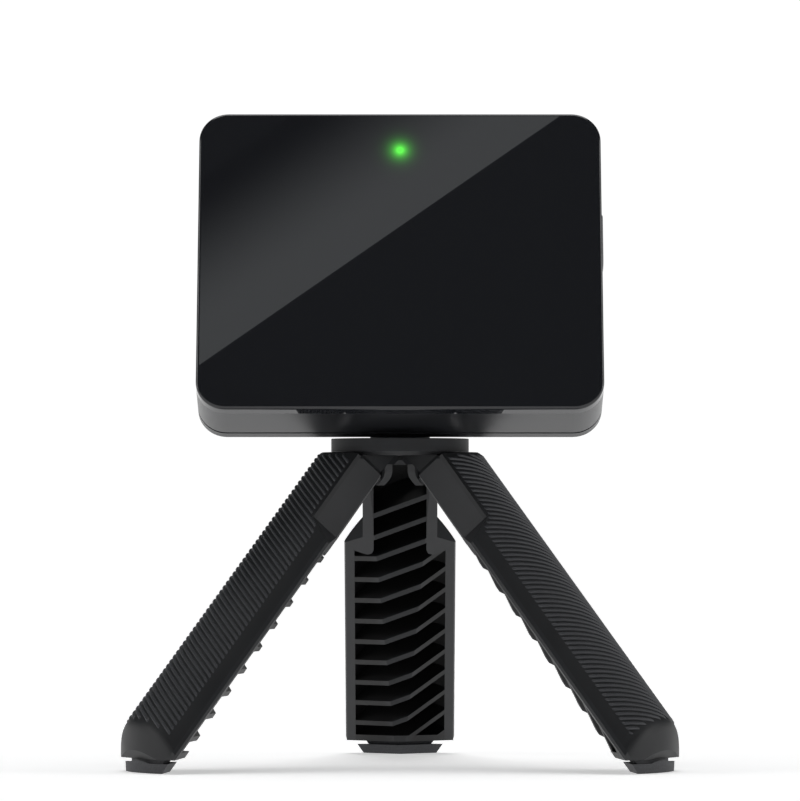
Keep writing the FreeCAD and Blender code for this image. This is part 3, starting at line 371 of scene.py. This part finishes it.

# %% [markdown]
# The hub is plain. On a leg, a mask finds the pockets: between the rails and deeper than the crest
# of the ribs. There the nylon grey turns to near black, as painted shade. No separate lining is
# modelled: the dark is only a colour. A Mapping node carries the leg's frame, so one mask works on three legs.

# %% Glass-filled nylon
def nylon_skin(tree, place):
    """Mottled colour and fine grain of the nylon, 0.4 mm grains and 6 mm clouds."""
    grain = add(tree, "ShaderNodeTexNoise", {"Vector": place.outputs["Object"], "Scale": 1 / (0.4 * MM),
                                             "Detail": 3.0})
    cloud = add(tree, "ShaderNodeTexNoise", {"Vector": place.outputs["Object"], "Scale": 1 / (6 * MM),
                                             "Detail": 4.0})
    tone = add(tree, "ShaderNodeValToRGB", {0: cloud.outputs["Fac"]})
    tone.color_ramp.elements[0].position = 0.3
    tone.color_ramp.elements[0].color = linear("#18191b")
    tone.color_ramp.elements[1].position = 0.7
    tone.color_ramp.elements[1].color = linear("#1e1f22")
    bump = add(tree, "ShaderNodeBump", {"Height": grain.outputs["Fac"], "Strength": 0.3,
                                        "Distance": 0.03 * MM})
    return tone, bump


hub_nylon, tree = new_material("glass_filled_nylon_hub")
tone, bump = nylon_skin(tree, add(tree, "ShaderNodeTexCoord"))
hub_shader = add(tree, "ShaderNodeBsdfPrincipled", {
    "Base Color": tone.outputs["Color"], "Roughness": 0.6, "IOR": 1.53, "Specular IOR Level": 0.32,
    "Normal": bump.outputs["Normal"]})
add(tree, "ShaderNodeOutputMaterial", {"Surface": hub_shader.outputs[0]})
dress(hub_nylon, "hub_body", "stud_plate")

crest_start, crest_end = (-28 * MM, 3.3 * MM), (-88.5 * MM, 0.7 * MM)
neck_z, pocket_top_z, neck_pocket, rail_pocket = -30 * MM, -9.4 * MM, 6.0 * MM, 10.35 * MM
for leg in leg_names:
    leg_nylon, tree = new_material("glass_filled_nylon_" + leg)
    place = add(tree, "ShaderNodeTexCoord")
    tone, bump = nylon_skin(tree, place)
    inverse = leg_matrix(leg).inverted()
    mapped = add(tree, "ShaderNodeMapping", {"Vector": place.outputs["Object"],
                                             "Location": inverse.translation, "Rotation": inverse.to_euler()})
    split = add(tree, "ShaderNodeSeparateXYZ", {0: mapped.outputs[0]})
    side = add(tree, "ShaderNodeMath", {0: split.outputs["Y"]}, operation="ABSOLUTE")
    crest = add(tree, "ShaderNodeMapRange", {"Value": split.outputs["Z"],
                                             "From Min": crest_start[0], "From Max": crest_end[0],
                                             "To Min": crest_start[1], "To Max": crest_end[1]})
    depth = add(tree, "ShaderNodeMath", {0: split.outputs["X"], 1: crest.outputs[0]}, operation="SUBTRACT")
    deep = add(tree, "ShaderNodeMapRange", {"Value": depth.outputs[0], "From Min": 0.2 * MM,
                                            "From Max": 1.2 * MM})
    neck = add(tree, "ShaderNodeMath", {0: split.outputs["Z"], 1: neck_z}, operation="GREATER_THAN")
    half = add(tree, "ShaderNodeMapRange", {"Value": neck.outputs[0], "To Min": rail_pocket,
                                            "To Max": neck_pocket})
    inside = add(tree, "ShaderNodeMath", {0: side.outputs[0], 1: half.outputs[0]}, operation="LESS_THAN")
    below = add(tree, "ShaderNodeMath", {0: split.outputs["Z"], 1: pocket_top_z}, operation="LESS_THAN")
    both = add(tree, "ShaderNodeMath", {0: inside.outputs[0], 1: below.outputs[0]}, operation="MULTIPLY")
    pocket_shade_mask = add(tree, "ShaderNodeMath", {0: both.outputs[0], 1: deep.outputs[0]}, operation="MULTIPLY")
    # Painted shade: deep in the pockets the nylon colour is mixed to near black.
    skin = add(tree, "ShaderNodeMix", {"Factor": pocket_shade_mask.outputs[0], "A": tone.outputs["Color"],
                                       "B": linear("#060607")}, data_type="RGBA")
    leg_shader = add(tree, "ShaderNodeBsdfPrincipled", {
        "Base Color": skin.outputs["Result"], "Roughness": 0.5, "IOR": 1.53, "Specular IOR Level": 0.42,
        "Normal": bump.outputs["Normal"]})
    add(tree, "ShaderNodeOutputMaterial", {"Surface": leg_shader.outputs[0]})
    dress(leg_nylon, leg + "_leg_frame")
print("pockets darken beyond a crest", round(crest_start[1] / MM, 1), "to",
      round(crest_end[1] / MM, 1), "mm out")

# %% [markdown]
# ## Grips: soft-touch rubber with raised ribs
# The outside of each leg is overmoulded with black soft-touch rubber, a satin surface without a
# sharp highlight. Fine ribs wind round it, 1.29 mm apart and 0.3 mm high, and slope along the
# leg, so a hand doesn't slip. Real ribs, not a bump map, give the toothed outline. Each rib is a
# strip with a flat-topped section, swept along a helix on the leg's own cylinder.

# %% Ribs of the grips
grip_radius, rib_pitch, rib_high = 14.95 * MM, 1.29 * MM, 0.30 * MM
rib_skew, rib_spread, rib_step = 0.466, 44.0, 2.0
first_rib, rib_count, top_margin, foot_half = 4.0 * MM, 70, 9.0 * MM, 40.0 * MM
rib_section = ((-0.42, -0.10), (-0.15, 1.0), (0.15, 1.0), (0.42, -0.10))
neck_half, rail_half, neck_end, shoulder_end = 8.3 * MM, 11.9 * MM, 25.3 * MM, 29.2 * MM
turn_middle, turn_radius, cap_height = 42.3 * MM, 23.15 * MM, 69.0 * MM


def on_grip(leg_to_stand, angle, down):
    """True where a rib may run: inside the leg's outline, under the hub, above the turned foot."""
    side = abs(grip_radius * math.sin(angle))
    widen = min(max((down - neck_end) / (shoulder_end - neck_end), 0), 1)
    if side > neck_half + widen * (rail_half - neck_half):
        return False
    spot = leg_to_stand @ Vector((grip_radius * math.cos(angle), grip_radius * math.sin(angle), -down))
    if spot.z > cap_height:
        return False
    if down < foot_half:
        return True
    reach = spot.to_2d() - stand_spot.to_2d()
    out = (leg_to_stand @ Vector((0, 0, -0.1)) - leg_to_stand @ Vector((0, 0, 0))).to_2d().normalized()
    middle = out * turn_middle
    return (reach - middle).length < turn_radius


def rib_runs(leg_to_stand, first):
    """Unbroken stretches of one rib, as lists of (angle, distance down the leg)."""
    runs, run = [], []
    steps = int(2 * rib_spread / rib_step)
    for k in range(steps + 1):
        angle = math.radians(-rib_spread + k * rib_step)
        down = first + rib_skew * grip_radius * angle
        if down > top_margin and on_grip(leg_to_stand, angle, down):
            run.append((angle, down))
        elif run:
            runs.append(run)
            run = []
    if run:
        runs.append(run)
    return [r for r in runs if len(r) > 2]


def add_rib(mesh, leg_to_stand, run):
    """One rib: its section at each point of the run, joined into a closed strip."""
    rings = []
    for k, (angle, down) in enumerate(run):
        fade = min(1.0, k / 2, (len(run) - 1 - k) / 2)
        ring = []
        for along_leg, lift in rib_section:
            sunk = min(lift, -0.25 + 1.25 * fade)
            radius = grip_radius + rib_high * sunk
            place = Vector((radius * math.cos(angle), radius * math.sin(angle), -down - along_leg * MM))
            ring.append(mesh.verts.new(leg_to_stand @ place))
        rings.append(ring)
    for near, far in zip(rings, rings[1:]):
        for k in range(4):
            mesh.faces.new((near[k], near[(k + 1) % 4], far[(k + 1) % 4], far[k]))
    mesh.faces.new(rings[0][::-1])
    mesh.faces.new(rings[-1])


for leg in leg_names:
    leg_to_stand = leg_matrix(leg)
    shape = bmesh.new()
    for k in range(rib_count):
        for run in rib_runs(leg_to_stand, first_rib + k * rib_pitch):
            add_rib(shape, leg_to_stand, run)
    bmesh.ops.recalc_face_normals(shape, faces=shape.faces)
    rib_mesh = bpy.data.meshes.new(leg + "_leg_grip_ribs")
    shape.to_mesh(rib_mesh)
    print(leg, "ribs:", len(shape.verts), "points")
    shape.free()
    ribs = bpy.data.objects.new(leg + "_leg_grip_ribs", rib_mesh)
    bpy.context.scene.collection.objects.link(ribs)
    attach(ribs, leg + "_leg")

# %% [markdown]
# The rubber has a fine matt grain and little gloss, and its roughness drifts slowly over the
# surface. The ribs are drawn in a paler tone of the same rubber than the valleys between them: a
# painted highlight on the ribs that makes such low relief read at this size. That isn't a second
# material on the real grip.

# %% Soft-touch rubber
def soft_rubber(name, colour, least, most):
    """Satin rubber in one colour, with a roughness that drifts between two values."""
    rubber, tree = new_material(name)
    place = add(tree, "ShaderNodeTexCoord")
    grain = add(tree, "ShaderNodeTexNoise", {"Vector": place.outputs["Object"], "Scale": 1 / (0.25 * MM),
                                             "Detail": 2.0})
    wear = add(tree, "ShaderNodeTexNoise", {"Vector": place.outputs["Object"], "Scale": 1 / (9 * MM),
                                            "Detail": 3.0})
    matt = add(tree, "ShaderNodeMapRange", {"Value": wear.outputs["Fac"], "To Min": least, "To Max": most})
    bump = add(tree, "ShaderNodeBump", {"Height": grain.outputs["Fac"], "Strength": 0.2,
                                        "Distance": 0.02 * MM})
    shader = add(tree, "ShaderNodeBsdfPrincipled", {
        "Base Color": linear(colour), "Roughness": matt.outputs[0], "IOR": 1.5, "Specular IOR Level": 0.42,
        "Normal": bump.outputs["Normal"]})
    add(tree, "ShaderNodeOutputMaterial", {"Surface": shader.outputs[0]})
    return rubber


dress(soft_rubber("soft_touch_elastomer", "#161719", 0.42, 0.6),
      "front_left_leg_grip", "front_right_leg_grip", "rear_leg_grip")
# Painted highlight: the ribs get a paler copy of the grip rubber.
dress(soft_rubber("soft_touch_elastomer_ribs_painted_highlight", "#3a3b3e", 0.36, 0.5),
      "front_left_leg_grip_ribs", "front_right_leg_grip_ribs", "rear_leg_grip_ribs")
print("grip and rib tones:", "#161719", "#3a3b3e")

# %% [markdown]
# ## Feet, seal and flap: vulcanised rubber
# The foot pads, the housing seal, the pad under the head and the flap over the charging port are
# harder, greyer rubber with a dusty, rough skin.

# %% Vulcanised rubber
rubber_grain = 0.5 * MM
hard_rubber, tree = new_material("vulcanised_rubber")
place = add(tree, "ShaderNodeTexCoord")
grain = add(tree, "ShaderNodeTexNoise", {"Vector": place.outputs["Object"], "Scale": 1 / rubber_grain,
                                         "Detail": 4.0})
dust = add(tree, "ShaderNodeValToRGB", {0: grain.outputs["Fac"]})
dust.color_ramp.elements[0].position = 0.35
dust.color_ramp.elements[0].color = linear("#2c2d30")
dust.color_ramp.elements[1].position = 0.75
dust.color_ramp.elements[1].color = linear("#3a3b3f")
bump = add(tree, "ShaderNodeBump", {"Height": grain.outputs["Fac"], "Strength": 0.3, "Distance": 0.03 * MM})
rubber_shader = add(tree, "ShaderNodeBsdfPrincipled", {
    "Base Color": dust.outputs["Color"], "Roughness": 0.62, "IOR": 1.52, "Normal": bump.outputs["Normal"]})
add(tree, "ShaderNodeOutputMaterial", {"Surface": rubber_shader.outputs[0]})
dress(hard_rubber, "front_left_leg_foot", "front_right_leg_foot", "rear_leg_foot", "housing_seal", "usb_cap",
      "mount_pad")
print("rubber grain:", rubber_grain / MM, "mm")

# %% [markdown]
# ## Metal and inner parts
# The hinge pins, screws, shields and contacts are metal, and the boards, chips and battery have
# their own plastics and foils. They hide inside the case, so one table gives each its colour,
# metallic value, roughness and grain in millimetres, and one loop builds the same small network.

# %% Inner finishes
finishes = {
    "brushed_stainless_steel": ("#b9babc", "#a3a4a7", 1.0, 0.32, 0.3, ("hinge_pins", "usb_receptacle")),
    "black_oxide_steel": ("#2e2e30", "#232325", 1.0, 0.45, 0.4,
                          ("housing_screws", "plate_screws", "board_screws")),
    "turned_brass": ("#c8a45a", "#b08c46", 1.0, 0.3, 0.4, ("thread_insert",)),
    "tinned_steel_can": ("#c4c6c6", "#aeb0b1", 1.0, 0.38, 0.8, ("radar_shield", "main_shield")),
    "gold_plated_copper": ("#d9b25c", "#c79a45", 1.0, 0.28, 0.5, ("antenna_patches",)),
    "epoxy_glass_laminate": ("#12452f", "#0e3826", 0.0, 0.42, 1.2, ("antenna_board", "main_board")),
    "moulded_epoxy": ("#1a1a1c", "#232326", 0.0, 0.6, 0.2, ("radar_chip", "main_chips")),
    "moulded_nylon": ("#e2ddcf", "#d5cfbf", 0.0, 0.5, 0.4, ("board_connector",)),
    "moulded_acetal": ("#26262a", "#1e1e21", 0.0, 0.4, 0.4, ("power_switch",)),
    "acrylic_foam_tape": ("#131314", "#1b1b1c", 0.0, 0.85, 0.3, ("lens_adhesive",)),
    "polyurethane_foam": ("#3a3a3c", "#2c2c2e", 0.0, 0.95, 0.6, ("battery_foam",)),
    "aluminium_laminate_pouch": ("#b4b7ba", "#9fa2a6", 0.8, 0.35, 3.0, ("battery_pack",)),
    "vinyl_insulation": ("#8e1f1c", "#7d1a18", 0.0, 0.45, 0.8, ("battery_lead",)),
    "clear_acrylic": ("#d8f0d8", "#c8e6c8", 0.0, 0.1, 0.8, ("light_pipe",)),
    "cast_epoxy_resin": ("#d9f5d4", "#c6ecc0", 0.0, 0.2, 0.5, ("status_led",)),
}
for name, (light, dark, metallic, roughness, grain_mm, used_on) in finishes.items():
    finish, tree = new_material(name)
    place = add(tree, "ShaderNodeTexCoord")
    grain = add(tree, "ShaderNodeTexNoise", {"Vector": place.outputs["Object"], "Scale": 1 / (grain_mm * MM),
                                             "Detail": 3.0})
    tone = add(tree, "ShaderNodeValToRGB", {0: grain.outputs["Fac"]})
    tone.color_ramp.elements[0].position, tone.color_ramp.elements[1].position = 0.35, 0.65
    tone.color_ramp.elements[0].color, tone.color_ramp.elements[1].color = linear(dark), linear(light)
    bump = add(tree, "ShaderNodeBump", {"Height": grain.outputs["Fac"], "Strength": 0.15,
                                        "Distance": 0.02 * MM})
    shader = add(tree, "ShaderNodeBsdfPrincipled", {
        "Base Color": tone.outputs["Color"], "Metallic": metallic, "Roughness": roughness,
        "Normal": bump.outputs["Normal"]})
    add(tree, "ShaderNodeOutputMaterial", {"Surface": shader.outputs[0]})
    dress(finish, *used_on)
print(len(finishes), "inner finishes; nodes still undressed:",
      [n for n, o in nodes.items() if not o.data.materials or o.data.materials[0].name.startswith("Material")])
